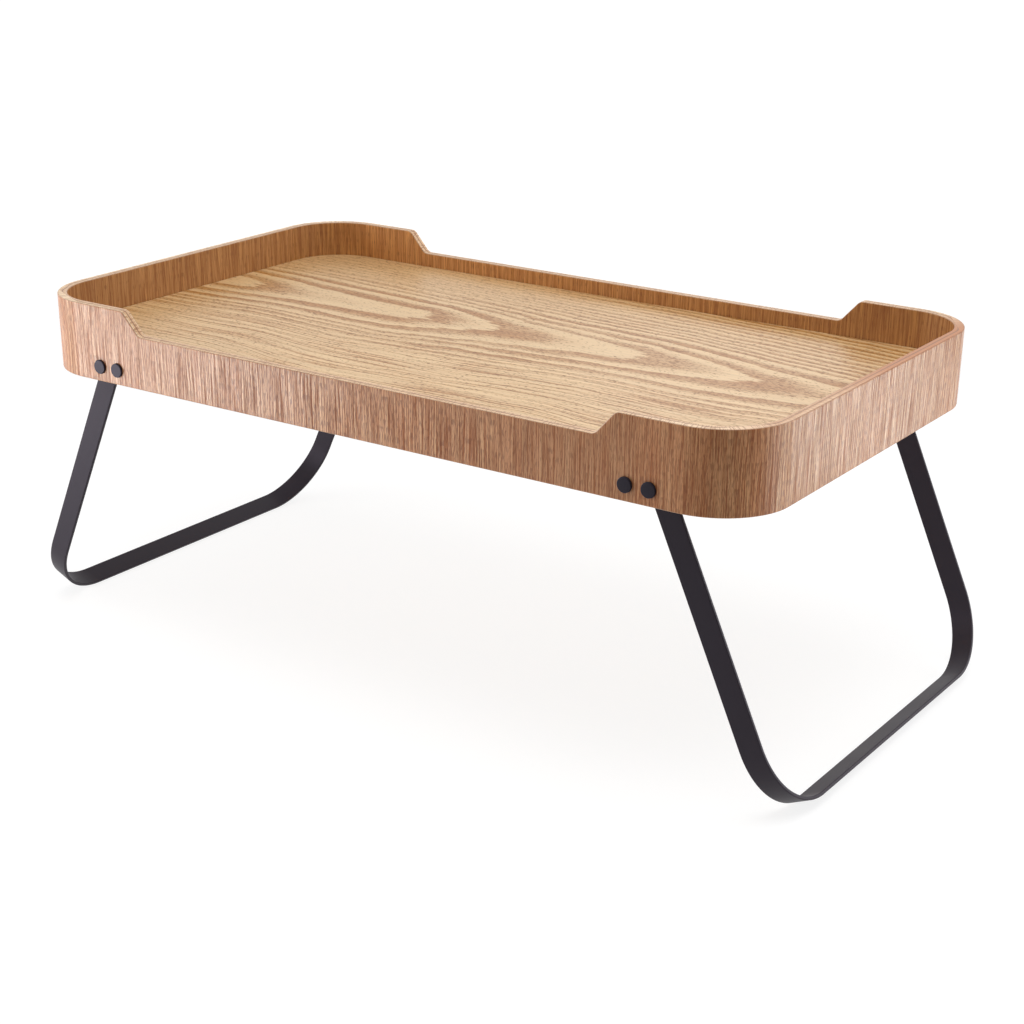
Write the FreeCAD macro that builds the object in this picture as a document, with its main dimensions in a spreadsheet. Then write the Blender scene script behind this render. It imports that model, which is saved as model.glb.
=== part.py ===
import FreeCAD, Part

import math
import os

import Sketcher

# Bed tray table: a bent-plywood tray on two U-shaped strap legs that fold up inside its rim.
# The frame stands on the floor under the middle of the tray: X runs along its length, -Y is the
# front and Z is up. One corner's hinge pieces are made at the front right and mirrored to the rest.

# Driving dimensions, in millimetres and degrees.
SIZES = {
    # tray
    "tray_length": 580.0,
    "tray_width": 334.0,
    "corner_radius": 48.0,
    "rim_thickness": 7.0,
    "rim_height": 53.5,
    "rim_underside": 191.5,
    "rim_ease": 0.8,
    "handhold_height": 37.5,
    "handhold_inset": 98.5,
    "handhold_slant": 48.0,
    "handhold_fillet": 6.0,
    "panel_top": 27.0,
    "panel_thickness": 6.0,
    "panel_seam": 0.2,
    "tongue_thickness": 4.0,
    "tongue_depth": 3.0,
    "tongue_clearance": 0.1,
    # legs
    "strap_width": 16.0,
    "strap_thickness": 2.5,
    "strap_edge": 0.5,
    "leg_splay": 24.7,
    "leg_bend": 50.0,
    # hinges
    "pivot_inset": 67.0,
    "pivot_rise": 10.6,
    "bolt_spacing": 16.3,
    "bracket_thickness": 2.5,
    "bracket_height": 17.0,
    "bracket_bend": 1.0,
    "bracket_corner": 2.0,
    "stop_clearance": 0.1,
    "stop_overhang": 0.7,
    "washer_thickness": 1.2,
    "washer_diameter": 14.0,
    "spring_diameter": 10.4,
    "spring_bore": 6.4,
    "spring_section": 0.5,
    "spring_cone": 0.3,
    "running_clearance": 0.05,
    # fasteners
    "head_diameter": 10.0,
    "head_thickness": 1.6,
    "head_ease": 0.5,
    "barrel_diameter": 6.0,
    "barrel_gap": 0.3,
    "bore_end": 1.2,
    "thread_diameter": 4.0,
    "thread_length": 8.0,
    "screw_head_diameter": 9.0,
    "screw_head_thickness": 2.2,
    "screw_chamfer": 0.4,
    "socket_width": 2.5,
    "socket_depth": 1.3,
    "countersink_diameter": 8.0,
    "countersink_angle": 90.0,
    "fixing_socket_width": 2.0,
}

# Places that follow from the driving dimensions.
PIVOT_X = "(dims.tray_length / 2 - dims.pivot_inset)"
PIVOT_Z = "(dims.rim_underside + dims.pivot_rise)"
WALL_FACE = "(dims.tray_width / 2)"
INNER_LENGTH = "(dims.tray_length - 2 * dims.rim_thickness)"
INNER_WIDTH = "(dims.tray_width - 2 * dims.rim_thickness)"
INNER_RADIUS = "(dims.corner_radius - dims.rim_thickness)"
PANEL_UNDERSIDE = "(dims.panel_top - dims.panel_thickness)"
BARREL_HOLE = "(dims.barrel_diameter + 2 * dims.running_clearance)"

# Depths inwards from the rim's outer face, along a pivot.
WASHER_SEAT = "(dims.rim_thickness + dims.bracket_thickness)"
STRAP_OUTSIDE = f"({WASHER_SEAT} + dims.washer_thickness + dims.running_clearance)"
STRAP_INSIDE = f"({STRAP_OUTSIDE} + dims.strap_thickness)"
SPRING_SEAT = f"({STRAP_INSIDE} + dims.running_clearance)"
PIVOT_BARREL_END = f"({SPRING_SEAT} + dims.spring_section + dims.spring_cone)"
FIXING_BARREL_END = "(dims.rim_thickness - dims.barrel_gap)"

# The rung's outer face lies this far below the pivots along the leg, so that its inner lower edge
# stands on the floor at the leg's splay.
LEG_DROP = (
    f"(({PIVOT_Z} - (dims.strap_width / 2 - dims.strap_edge) * sin(dims.leg_splay))"
    " / cos(dims.leg_splay))"
)

HORIZONTAL_AXIS, VERTICAL_AXIS = range(-1, -3, -1)
ORIGIN = (-1, 1)
START, END, CENTRE = range(1, 4)
QUARTER_TURN = math.pi / 2
SAME_PLACE = 0.01

doc = FreeCAD.newDocument("bed_tray_table")


def make_sheet():
    sheet = doc.addObject("Spreadsheet::Sheet", "dims")
    for row, (name, size) in enumerate(SIZES.items(), start=1):
        sheet.set(f"A{row}", name)
        sheet.set(f"B{row}", str(size))
        sheet.setAlias(f"B{row}", name)
    doc.recompute()
    return sheet


dims = make_sheet()


def amount(size):
    # The present value of an expression on the sheet.
    result = dims.evalExpression(size)
    return float(getattr(result, "Value", result))


def bind(item, **sizes):
    # Ties properties to expressions; a double underscore stands for the dot of a sub-property.
    for name, size in sizes.items():
        item.setExpression(name.replace("__", "."), size)


# ---- sketches ----


def new_body(label):
    body = doc.addObject("PartDesign::Body", "body_" + label)
    body.Label = label
    return body


def new_sketch(body, name, plane, offset="0"):
    # A sketch on one of the body's own planes, moved along that plane's normal.
    sketch = body.newObject("Sketcher::SketchObject", name)
    role = plane + "_Plane"
    support = next(item for item in body.Origin.OriginFeatures if item.Role == role)
    sketch.AttachmentSupport = [(support, "")]
    sketch.MapMode = "FlatFace"
    bind(sketch, AttachmentOffset__Base__z=offset)
    return sketch


def dimension(sketch, kind, size, *where):
    index = sketch.addConstraint(Sketcher.Constraint(kind, *where, amount(size)))
    sketch.setExpression(f"Constraints[{index}]", size)


def locate_along(sketch, kind, axis, point, size):
    place = amount(size)
    if abs(place) < SAME_PLACE:
        sketch.addConstraint(Sketcher.Constraint("PointOnObject", *point, axis))
    elif place > 0:
        dimension(sketch, kind, size, *ORIGIN, *point)
    else:
        dimension(sketch, kind, f"-({size})", *point, *ORIGIN)


def locate(sketch, point, x, y):
    # Holds a point, given as (geometry, end), at x, y from the sketch's origin.
    locate_along(sketch, "DistanceX", VERTICAL_AXIS, point, x)
    locate_along(sketch, "DistanceY", HORIZONTAL_AXIS, point, y)


def polygon(sketch, corners):
    # A closed outline through corners given as pairs of expressions.
    spots = [FreeCAD.Vector(amount(x), amount(y), 0) for x, y in corners]
    sides = [
        sketch.addGeometry(Part.LineSegment(spot, spots[(index + 1) % len(spots)]))
        for index, spot in enumerate(spots)
    ]
    for index, side in enumerate(sides):
        following = sides[(index + 1) % len(sides)]
        sketch.addConstraint(Sketcher.Constraint("Coincident", side, END, following, START))
    for side, (x, y) in zip(sides, corners):
        locate(sketch, (side, START), x, y)
    return sides


def circle(sketch, diameter, x="0", y="0"):
    centre = FreeCAD.Vector(amount(x), amount(y), 0)
    normal = FreeCAD.Vector(0, 0, 1)
    index = sketch.addGeometry(Part.Circle(centre, normal, amount(diameter) / 2))
    dimension(sketch, "Diameter", diameter, index)
    locate(sketch, (index, CENTRE), x, y)


def arc_about(x, y, radius, from_angle, to_angle):
    centre = FreeCAD.Vector(x, y, 0)
    whole = Part.Circle(centre, FreeCAD.Vector(0, 0, 1), radius)
    return Part.ArcOfCircle(whole, from_angle, to_angle)


def line_between(x1, y1, x2, y2):
    return Part.LineSegment(FreeCAD.Vector(x1, y1, 0), FreeCAD.Vector(x2, y2, 0))


def join_smoothly(sketch, first, second):
    sketch.addConstraint(Sketcher.Constraint("Tangent", first, END, second, START))


def rounded_rectangle(sketch, length, width, radius):
    # Four sides and four corner arcs, drawn anticlockwise about the sketch's origin.
    half_x = amount(length) / 2
    half_y = amount(width) / 2
    r = amount(radius)
    pieces = [
        line_between(-half_x + r, -half_y, half_x - r, -half_y),
        arc_about(half_x - r, -half_y + r, r, -QUARTER_TURN, 0),
        line_between(half_x, -half_y + r, half_x, half_y - r),
        arc_about(half_x - r, half_y - r, r, 0, QUARTER_TURN),
        line_between(half_x - r, half_y, -half_x + r, half_y),
        arc_about(-half_x + r, half_y - r, r, QUARTER_TURN, 2 * QUARTER_TURN),
        line_between(-half_x, half_y - r, -half_x, -half_y + r),
        arc_about(-half_x + r, -half_y + r, r, 2 * QUARTER_TURN, 3 * QUARTER_TURN),
    ]
    added = [sketch.addGeometry(piece) for piece in pieces]
    for index, item in enumerate(added):
        join_smoothly(sketch, item, added[(index + 1) % len(added)])
    bottom, right, top, left = added[0], added[2], added[4], added[6]
    corners = added[1::2]
    for side in (bottom, top):
        sketch.addConstraint(Sketcher.Constraint("Horizontal", side))
    for side in (left, right):
        sketch.addConstraint(Sketcher.Constraint("Vertical", side))
    for corner in corners[1:]:
        sketch.addConstraint(Sketcher.Constraint("Equal", corners[0], corner))
    dimension(sketch, "Radius", radius, corners[0])
    dimension(sketch, "DistanceX", length, left, START, right, START)
    dimension(sketch, "DistanceY", width, bottom, START, top, START)
    across = (corners[0], CENTRE, corners[2], CENTRE)
    sketch.addConstraint(Sketcher.Constraint("Symmetric", *across, *ORIGIN))


# ---- solid features ----


def pad(body, sketch, length):
    feature = body.newObject("PartDesign::Pad", "pad_" + sketch.Name)
    feature.Profile = sketch
    bind(feature, Length=length)
    doc.recompute()


def check_cut(before, feature):
    if feature.Shape.Volume > before - 1e-3:
        raise RuntimeError(feature.Name + " removed nothing")


def pocket(body, sketch, depth=None, reverse=False):
    # Cuts to a depth, or through everything both ways where no depth is given.
    before = body.Shape.Volume
    feature = body.newObject("PartDesign::Pocket", "pocket_" + sketch.Name)
    feature.Profile = sketch
    feature.Reversed = reverse
    if depth is None:
        feature.Type = "ThroughAll"
        feature.Midplane = True
    else:
        bind(feature, Length=depth)
    doc.recompute()
    check_cut(before, feature)


def revolve(body, sketch):
    # A full turn about the sketch's vertical axis.
    feature = body.newObject("PartDesign::Revolution", "turn_" + sketch.Name)
    feature.Profile = sketch
    feature.ReferenceAxis = (sketch, ["V_Axis"])
    feature.Angle = 360
    doc.recompute()


def edges_where(shape, wanted):
    return [f"Edge{index}" for index, edge in enumerate(shape.Edges, start=1) if wanted(edge)]


def round_edges(body, wanted, radius):
    base = body.Tip
    feature = body.newObject("PartDesign::Fillet", "fillet_" + base.Name)
    feature.Base = (base, edges_where(base.Shape, wanted))
    bind(feature, Radius=radius)
    doc.recompute()


def chamfer_edges(body, wanted, size):
    base = body.Tip
    feature = body.newObject("PartDesign::Chamfer", "chamfer_" + base.Name)
    feature.Base = (base, edges_where(base.Shape, wanted))
    bind(feature, Size=size)
    doc.recompute()


def runs_along(edge, direction):
    if not isinstance(edge.Curve, Part.Line):
        return False
    return abs(edge.tangentAt(edge.FirstParameter).dot(direction)) > 0.999


X_WAY = FreeCAD.Vector(1, 0, 0)
Y_WAY = FreeCAD.Vector(0, 1, 0)
Z_WAY = FreeCAD.Vector(0, 0, 1)


# ---- tray ----


def cut_handholds(body):
    # Lowers the middle of both long sides, with a slanted shoulder at each end.
    drop = "(dims.rim_height - dims.handhold_height)"
    shoulder = "(dims.tray_length / 2 - dims.handhold_inset)"
    lean = f"({drop} / tan(dims.handhold_slant))"
    foot = f"({shoulder} - {lean} / 2)"
    crown = f"({shoulder} + {lean} / 2)"
    over = f"(dims.rim_height + {drop})"
    outline = new_sketch(body, "handhold_outline", "XZ")
    polygon(
        outline,
        [
            (f"-{foot}", "dims.handhold_height"),
            (foot, "dims.handhold_height"),
            (crown, "dims.rim_height"),
            (crown, over),
            (f"-{crown}", over),
            (f"-{crown}", "dims.rim_height"),
        ],
    )
    pocket(body, outline)
    shoulders = (amount(foot), amount(crown))

    def at_shoulder(edge):
        middle = edge.CenterOfMass
        near = any(abs(abs(middle.x) - place) < SAME_PLACE for place in shoulders)
        return near and runs_along(edge, Y_WAY)

    round_edges(body, at_shoulder, "dims.handhold_fillet")


def ease_rim(body):
    # Takes the sharpness off the plywood's edges, all round the top and the bottom.
    walls = (amount(WALL_FACE), amount(INNER_WIDTH) / 2)
    levels = (0, amount("dims.rim_height"))

    def along_wall(edge):
        middle = edge.CenterOfMass
        at_level = any(abs(middle.z - level) < SAME_PLACE for level in levels)
        beside_wall = any(abs(abs(middle.y) - wall) < SAME_PLACE for wall in walls)
        return at_level and beside_wall and runs_along(edge, X_WAY)

    chamfer_edges(body, along_wall, "dims.rim_ease")


def make_rim():
    body = new_body("rim_band")
    band = new_sketch(body, "band_outline", "XY")
    rounded_rectangle(band, "dims.tray_length", "dims.tray_width", "dims.corner_radius")
    rounded_rectangle(band, INNER_LENGTH, INNER_WIDTH, INNER_RADIUS)
    pad(body, band, "dims.rim_height")
    cut_handholds(body)
    ease_rim(body)

    groove_depth = "(dims.tongue_depth + dims.tongue_clearance)"
    groove_floor = f"({PANEL_UNDERSIDE} - dims.tongue_clearance / 2)"
    groove = new_sketch(body, "groove_outline", "XY", groove_floor)
    rounded_rectangle(
        groove,
        f"({INNER_LENGTH} + 2 * {groove_depth})",
        f"({INNER_WIDTH} + 2 * {groove_depth})",
        f"({INNER_RADIUS} + {groove_depth})",
    )
    pocket(body, groove, "dims.tongue_thickness + dims.tongue_clearance", reverse=True)

    holes = new_sketch(body, "bolt_holes", "XZ")
    for side in ("-", ""):
        circle(holes, BARREL_HOLE, f"{side}{PIVOT_X}", "dims.pivot_rise")
        inner = f"({PIVOT_X} - dims.bolt_spacing)"
        circle(holes, BARREL_HOLE, f"{side}{inner}", "dims.pivot_rise")
    pocket(body, holes)
    bind(body, Placement__Base__z="dims.rim_underside")
    return body


def make_panel():
    # A tongue runs all round under the top face, which stops just short of the rim.
    body = new_body("tray_panel")
    tongue = new_sketch(body, "tongue_outline", "XY")
    rounded_rectangle(
        tongue,
        f"({INNER_LENGTH} + 2 * dims.tongue_depth)",
        f"({INNER_WIDTH} + 2 * dims.tongue_depth)",
        f"({INNER_RADIUS} + dims.tongue_depth)",
    )
    pad(body, tongue, "dims.tongue_thickness")
    face = new_sketch(body, "face_outline", "XY")
    rounded_rectangle(
        face,
        f"({INNER_LENGTH} - 2 * dims.panel_seam)",
        f"({INNER_WIDTH} - 2 * dims.panel_seam)",
        f"({INNER_RADIUS} - dims.panel_seam)",
    )
    pad(body, face, "dims.panel_thickness")
    bind(body, Placement__Base__z=f"dims.rim_underside + {PANEL_UNDERSIDE}")
    return body


# ---- legs ----


def leg_path(body, half_width, top):
    # The middle line of the bent strap, from one arm's top down, across and up to the other's.
    sketch = new_sketch(body, "bend_line", "YZ")
    bend = "(dims.leg_bend - dims.strap_thickness / 2)"
    floor = f"({LEG_DROP} - dims.strap_thickness / 2)"
    hw = amount(half_width)
    r = amount(bend)
    low = -amount(floor)
    first_arm = sketch.addGeometry(line_between(-hw, amount(top), -hw, low + r))
    first_bend = sketch.addGeometry(arc_about(-hw + r, low + r, r, 2 * QUARTER_TURN, 3 * QUARTER_TURN))
    rung = sketch.addGeometry(line_between(-hw + r, low, hw - r, low))
    second_bend = sketch.addGeometry(arc_about(hw - r, low + r, r, -QUARTER_TURN, 0))
    second_arm = sketch.addGeometry(line_between(hw, low + r, hw, amount(top)))
    chain = (first_arm, first_bend, rung, second_bend, second_arm)
    for one, other in zip(chain, chain[1:]):
        join_smoothly(sketch, one, other)
    for arm in (first_arm, second_arm):
        sketch.addConstraint(Sketcher.Constraint("Vertical", arm))
    sketch.addConstraint(Sketcher.Constraint("Horizontal", rung))
    sketch.addConstraint(Sketcher.Constraint("Equal", first_bend, second_bend))
    dimension(sketch, "Radius", bend, first_bend)
    dimension(sketch, "DistanceY", floor, rung, START, *ORIGIN)
    locate(sketch, (first_arm, START), f"-{half_width}", top)
    locate(sketch, (second_arm, END), half_width, top)
    return sketch


def strap_outline(half_width):
    # A flat bar with eased edges, on the front arm's middle line.
    wide = "dims.strap_width / 2"
    flat = "(dims.strap_width / 2 - dims.strap_edge)"
    thick = "dims.strap_thickness / 2"
    side = "(dims.strap_thickness / 2 - dims.strap_edge)"
    outer, inner = f"(-{half_width} - {thick})", f"(-{half_width} + {thick})"
    lower, upper = f"(-{half_width} - {side})", f"(-{half_width} + {side})"
    return [
        (f"-{flat}", outer),
        (flat, outer),
        (wide, lower),
        (wide, upper),
        (flat, inner),
        (f"-{flat}", inner),
        (f"-{wide}", upper),
        (f"-{wide}", lower),
    ]


def round_arm_ends(body):
    # A half circle about the pivot, so that the end clears its bracket at every angle.
    half = "(dims.strap_width / 2)"
    over = "dims.strap_width"
    r = amount(half)
    wide = amount(over)
    sketch = new_sketch(body, "end_outline", "XZ")
    rounding = sketch.addGeometry(arc_about(0, 0, r, 0, 2 * QUARTER_TURN))
    corners = [(-r, 0), (-wide, 0), (-wide, wide), (wide, wide), (wide, 0), (r, 0)]
    outline = [
        sketch.addGeometry(line_between(*one, *other)) for one, other in zip(corners, corners[1:])
    ]
    for one, other in zip(outline, outline[1:]):
        sketch.addConstraint(Sketcher.Constraint("Coincident", one, END, other, START))
    ends = ((rounding, END, outline[0], START), (rounding, START, outline[-1], END))
    for pair in ends:
        sketch.addConstraint(Sketcher.Constraint("Coincident", *pair))
    sketch.addConstraint(Sketcher.Constraint("Coincident", rounding, CENTRE, *ORIGIN))
    dimension(sketch, "Radius", half, rounding)
    for index in (0, 4):
        sketch.addConstraint(Sketcher.Constraint("Horizontal", outline[index]))
    sketch.addConstraint(Sketcher.Constraint("PointOnObject", rounding, END, HORIZONTAL_AXIS))
    sketch.addConstraint(Sketcher.Constraint("PointOnObject", rounding, START, HORIZONTAL_AXIS))
    locate(sketch, (outline[1], END), f"-{over}", over)
    locate(sketch, (outline[3], START), over, over)
    for index in (1, 3):
        sketch.addConstraint(Sketcher.Constraint("Vertical", outline[index]))
    pocket(body, sketch)


def make_leg(label, side):
    # Modelled upright with its pivots on the body's Y axis, then splayed outwards.
    body = new_body(label)
    half_width = f"({WALL_FACE} - {STRAP_OUTSIDE} - dims.strap_thickness / 2)"
    top = "(dims.strap_width / 2)"
    path = leg_path(body, half_width, top)
    section = new_sketch(body, "strap_section", "XY", top)
    polygon(section, strap_outline(half_width))
    strap = body.newObject("PartDesign::AdditivePipe", "bent_strap")
    strap.Profile = section
    strap.Spine = (path, [])
    doc.recompute()
    round_arm_ends(body)
    holes = new_sketch(body, "pivot_holes", "XZ")
    circle(holes, BARREL_HOLE)
    pocket(body, holes)
    body.Placement.Rotation = FreeCAD.Rotation(Y_WAY * -side, amount("dims.leg_splay"))
    bind(
        body,
        Placement__Base__x=f"{side} * {PIVOT_X}",
        Placement__Base__z=PIVOT_Z,
        Placement__Rotation__Angle="dims.leg_splay",
    )
    return body


# ---- hinges ----


def stand_on_wall(body, x):
    # Turns the body's Z axis outwards through the front wall, with its origin on the outer face.
    body.Placement.Rotation = FreeCAD.Rotation(X_WAY, 90)
    bind(
        body,
        Placement__Base__x=x,
        Placement__Base__y=f"-{WALL_FACE}",
        Placement__Base__z=PIVOT_Z,
    )


def make_bracket():
    # A plate on the rim's inner wall whose outer edge is bent inwards at the leg's splay. The open
    # leg leans on that flange, and its rounded end turns clear of it.
    body = new_body("front_right_hinge_bracket")
    half = "(dims.bracket_height / 2)"
    slope_run = f"({half} * sin(dims.leg_splay))"
    stop_face = "(dims.strap_width / 2 + dims.stop_clearance)"
    flange_back = f"({stop_face} + dims.bracket_thickness)"
    inner_end = f"(dims.bolt_spacing + {half})"

    def beside(distance, height_sign):
        # The x of a line that runs down the leg at a distance from the pivot, at half height.
        return f"(({distance} - {height_sign} * {slope_run}) / cos(dims.leg_splay))"

    web = new_sketch(body, "web_outline", "XY", f"-{WASHER_SEAT}")
    polygon(
        web,
        [
            (f"-{inner_end}", f"-{half}"),
            (beside(flange_back, -1), f"-{half}"),
            (beside(flange_back, 1), half),
            (f"-{inner_end}", half),
        ],
    )
    pad(body, web, "dims.bracket_thickness")

    flange_reach = f"({STRAP_INSIDE} + dims.stop_overhang)"
    flange = new_sketch(body, "flange_outline", "XY", f"-{flange_reach}")
    polygon(
        flange,
        [
            (beside(stop_face, -1), f"-{half}"),
            (beside(flange_back, -1), f"-{half}"),
            (beside(flange_back, 1), half),
            (beside(stop_face, 1), half),
        ],
    )
    pad(body, flange, f"{flange_reach} - dims.rim_thickness")

    down_leg = FreeCAD.Rotation(Z_WAY, amount("dims.leg_splay")).multVec(Y_WAY * -1)
    seat = -amount(WASHER_SEAT)
    wall = -amount("dims.rim_thickness")
    inner = -amount(inner_end)

    def inner_corner(edge):
        middle = edge.CenterOfMass
        return runs_along(edge, Z_WAY) and abs(middle.x - inner) < SAME_PLACE

    def inside_bend(edge):
        return runs_along(edge, down_leg) and abs(edge.CenterOfMass.z - seat) < SAME_PLACE

    def outside_bend(edge):
        middle = edge.CenterOfMass
        return runs_along(edge, down_leg) and abs(middle.z - wall) < SAME_PLACE

    round_edges(body, inner_corner, f"{half} - dims.bracket_corner")
    round_edges(body, inside_bend, "dims.bracket_bend")
    round_edges(body, outside_bend, "dims.bracket_bend + dims.bracket_thickness")

    pivot_hole = new_sketch(body, "pivot_hole", "XY", f"-{WASHER_SEAT}")
    circle(pivot_hole, BARREL_HOLE)
    pocket(body, pivot_hole, "dims.bracket_thickness", reverse=True)
    drill_countersink(body)
    stand_on_wall(body, PIVOT_X)
    return body


def drill_countersink(body):
    # The fixing screw's hole, opening inwards so that its head lies flush with the plate.
    clearance = "2 * dims.running_clearance"
    spot = new_sketch(body, "fixing_hole", "XY", f"-{WASHER_SEAT}")
    circle(spot, f"(dims.thread_diameter + {clearance})", "-dims.bolt_spacing")
    before = body.Shape.Volume
    hole = body.newObject("PartDesign::Hole", "countersunk_hole")
    doc.recompute()
    hole.Profile = spot
    hole.Reversed = True
    hole.Threaded = False
    hole.DepthType = "ThroughAll"
    hole.HoleCutType = "Countersink"
    hole.HoleCutCustomValues = True
    bind(
        hole,
        Diameter=f"dims.thread_diameter + {clearance}",
        HoleCutDiameter=f"dims.countersink_diameter + {clearance}",
        HoleCutCountersinkAngle="dims.countersink_angle",
    )
    doc.recompute()
    check_cut(before, hole)


def turned_piece(label, x, outline):
    # A round piece about the bolt's axis: pairs of radius and height, outwards from the wall face.
    body = new_body(label)
    section = new_sketch(body, "section", "XZ")
    polygon(section, outline)
    revolve(body, section)
    stand_on_wall(body, x)
    return body


def make_barrel(label, x, reach):
    # A binding post: a plain flat head outside the rim on a barrel that is bored for the screw.
    head = "(dims.head_diameter / 2)"
    barrel = "(dims.barrel_diameter / 2)"
    bore = "(dims.thread_diameter / 2 + dims.running_clearance)"
    return turned_piece(
        label,
        x,
        [
            ("0", "-dims.bore_end"),
            (bore, "-dims.bore_end"),
            (bore, f"-{reach}"),
            (barrel, f"-{reach}"),
            (barrel, "0"),
            (head, "0"),
            (head, "(dims.head_thickness - dims.head_ease)"),
            (f"({head} - dims.head_ease)", "dims.head_thickness"),
            ("0", "dims.head_thickness"),
        ],
    )


def cut_socket(body, width, depth, face):
    # A hexagonal socket, sunk outwards from the screw's inner face.
    corner = f"({width} / 2 / cos(30))"
    half_side = f"({corner} / 2)"
    socket = new_sketch(body, "socket_outline", "XY", f"-({face})")
    polygon(
        socket,
        [
            (corner, "0"),
            (half_side, f"({width} / 2)"),
            (f"-{half_side}", f"({width} / 2)"),
            (f"-{corner}", "0"),
            (f"-{half_side}", f"-({width} / 2)"),
            (half_side, f"-({width} / 2)"),
        ],
    )
    pocket(body, socket, depth, reverse=True)


def make_pivot_screw():
    # Its head closes on the barrel's end and keeps the disc spring pressed on the strap.
    head = "(dims.screw_head_diameter / 2)"
    thread = "(dims.thread_diameter / 2)"
    tip = f"({PIVOT_BARREL_END} - dims.thread_length)"
    face = f"({PIVOT_BARREL_END} + dims.screw_head_thickness)"
    body = turned_piece(
        "front_right_pivot_screw",
        PIVOT_X,
        [
            ("0", f"-{tip}"),
            (thread, f"-{tip}"),
            (thread, f"-{PIVOT_BARREL_END}"),
            (head, f"-{PIVOT_BARREL_END}"),
            (head, f"-({face} - dims.screw_chamfer)"),
            (f"({head} - dims.screw_chamfer)", f"-{face}"),
            ("0", f"-{face}"),
        ],
    )
    cut_socket(body, "dims.socket_width", "dims.socket_depth", face)
    return body


def make_fixing_screw():
    head = "(dims.countersink_diameter / 2)"
    thread = "(dims.thread_diameter / 2)"
    cone = f"(({head} - {thread}) / tan(dims.countersink_angle / 2))"
    tip = "(dims.bore_end + dims.barrel_gap)"
    body = turned_piece(
        "front_right_fixing_screw",
        f"{PIVOT_X} - dims.bolt_spacing",
        [
            ("0", f"-{tip}"),
            (thread, f"-{tip}"),
            (thread, f"-({WASHER_SEAT} - {cone})"),
            (head, f"-{WASHER_SEAT}"),
            ("0", f"-{WASHER_SEAT}"),
        ],
    )
    cut_socket(body, "dims.fixing_socket_width", "dims.socket_depth", WASHER_SEAT)
    return body


def make_pivot_washer():
    inside = f"({BARREL_HOLE} / 2)"
    outside = "(dims.washer_diameter / 2)"
    thick = f"({WASHER_SEAT} + dims.washer_thickness)"
    return turned_piece(
        "front_right_pivot_washer",
        PIVOT_X,
        [
            (inside, f"-{thick}"),
            (outside, f"-{thick}"),
            (outside, f"-{WASHER_SEAT}"),
            (inside, f"-{WASHER_SEAT}"),
        ],
    )


def make_spring_washer():
    # A coned disc: its outer edge bears on the strap and its inner edge on the screw's head.
    inside = "(dims.spring_bore / 2)"
    outside = "(dims.spring_diameter / 2)"
    lifted = f"({SPRING_SEAT} + dims.spring_cone)"
    return turned_piece(
        "front_right_spring_washer",
        PIVOT_X,
        [
            (inside, f"-({lifted} + dims.spring_section)"),
            (outside, f"-({SPRING_SEAT} + dims.spring_section)"),
            (outside, f"-{SPRING_SEAT}"),
            (inside, f"-{lifted}"),
        ],
    )


def mirrored(source, label, normal):
    # The same piece on the other side of the tray's middle plane.
    copy = doc.addObject("Part::Mirroring", "mirror_" + label)
    copy.Label = label
    copy.Source = source
    copy.Normal = normal
    doc.recompute()
    return copy


def make_corners(first_pieces):
    # Each front right piece, mirrored to the left, to the back and to both.
    everything = []
    for piece in first_pieces:
        name = piece.Label.removeprefix("front_right_")
        back = mirrored(piece, "back_right_" + name, Y_WAY)
        everything.append(piece)
        everything.append(back)
        everything.append(mirrored(piece, "front_left_" + name, X_WAY))
        everything.append(mirrored(back, "back_left_" + name, X_WAY))
    return everything


def make_hinge():
    fixing_x = f"{PIVOT_X} - dims.bolt_spacing"
    return [
        make_bracket(),
        make_barrel("front_right_pivot_barrel", PIVOT_X, PIVOT_BARREL_END),
        make_pivot_screw(),
        make_pivot_washer(),
        make_spring_washer(),
        make_barrel("front_right_fixing_barrel", fixing_x, FIXING_BARREL_END),
        make_fixing_screw(),
    ]


def check_and_write(pieces):
    doc.recompute()
    for item in doc.Objects:
        if "Invalid" in item.State or "Error" in item.State:
            raise RuntimeError(f"{item.Label} failed: {item.State}")
    for piece in pieces:
        if piece.Shape.isNull() or not piece.Shape.isValid() or len(piece.Shape.Solids) != 1:
            raise RuntimeError(piece.Label + " is not one valid solid")
    os.makedirs("parts", exist_ok=True)
    for piece in pieces:
        piece.Shape.exportStep(f"parts/{piece.Label}.step")
        print(piece.Label, round(piece.Shape.Volume, 1))


pieces = [make_rim(), make_panel(), make_leg("left_leg", -1), make_leg("right_leg", 1)]
pieces += make_corners(make_hinge())
check_and_write(pieces)
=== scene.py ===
import math

import bmesh
import bpy
from mathutils import Matrix, Vector


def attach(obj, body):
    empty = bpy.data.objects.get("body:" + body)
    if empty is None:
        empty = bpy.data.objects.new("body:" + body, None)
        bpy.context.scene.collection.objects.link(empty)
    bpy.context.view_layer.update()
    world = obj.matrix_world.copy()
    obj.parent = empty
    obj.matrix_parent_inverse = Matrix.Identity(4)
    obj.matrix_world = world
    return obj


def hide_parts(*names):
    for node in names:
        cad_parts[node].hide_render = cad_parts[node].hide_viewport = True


# Bed tray table: a bent-plywood tray on two folding strap legs. Sizes in the pieces' dictionaries
# are millimetres and degrees; mm turns them into metres. The stage's are metres.

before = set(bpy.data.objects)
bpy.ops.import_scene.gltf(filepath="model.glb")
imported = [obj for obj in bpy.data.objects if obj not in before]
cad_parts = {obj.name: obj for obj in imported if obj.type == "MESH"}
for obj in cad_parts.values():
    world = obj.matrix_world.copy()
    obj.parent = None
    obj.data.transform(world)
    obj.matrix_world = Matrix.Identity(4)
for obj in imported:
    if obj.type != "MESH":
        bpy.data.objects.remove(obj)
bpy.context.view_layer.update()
print("frame loaded with", len(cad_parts), "nodes")

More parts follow.
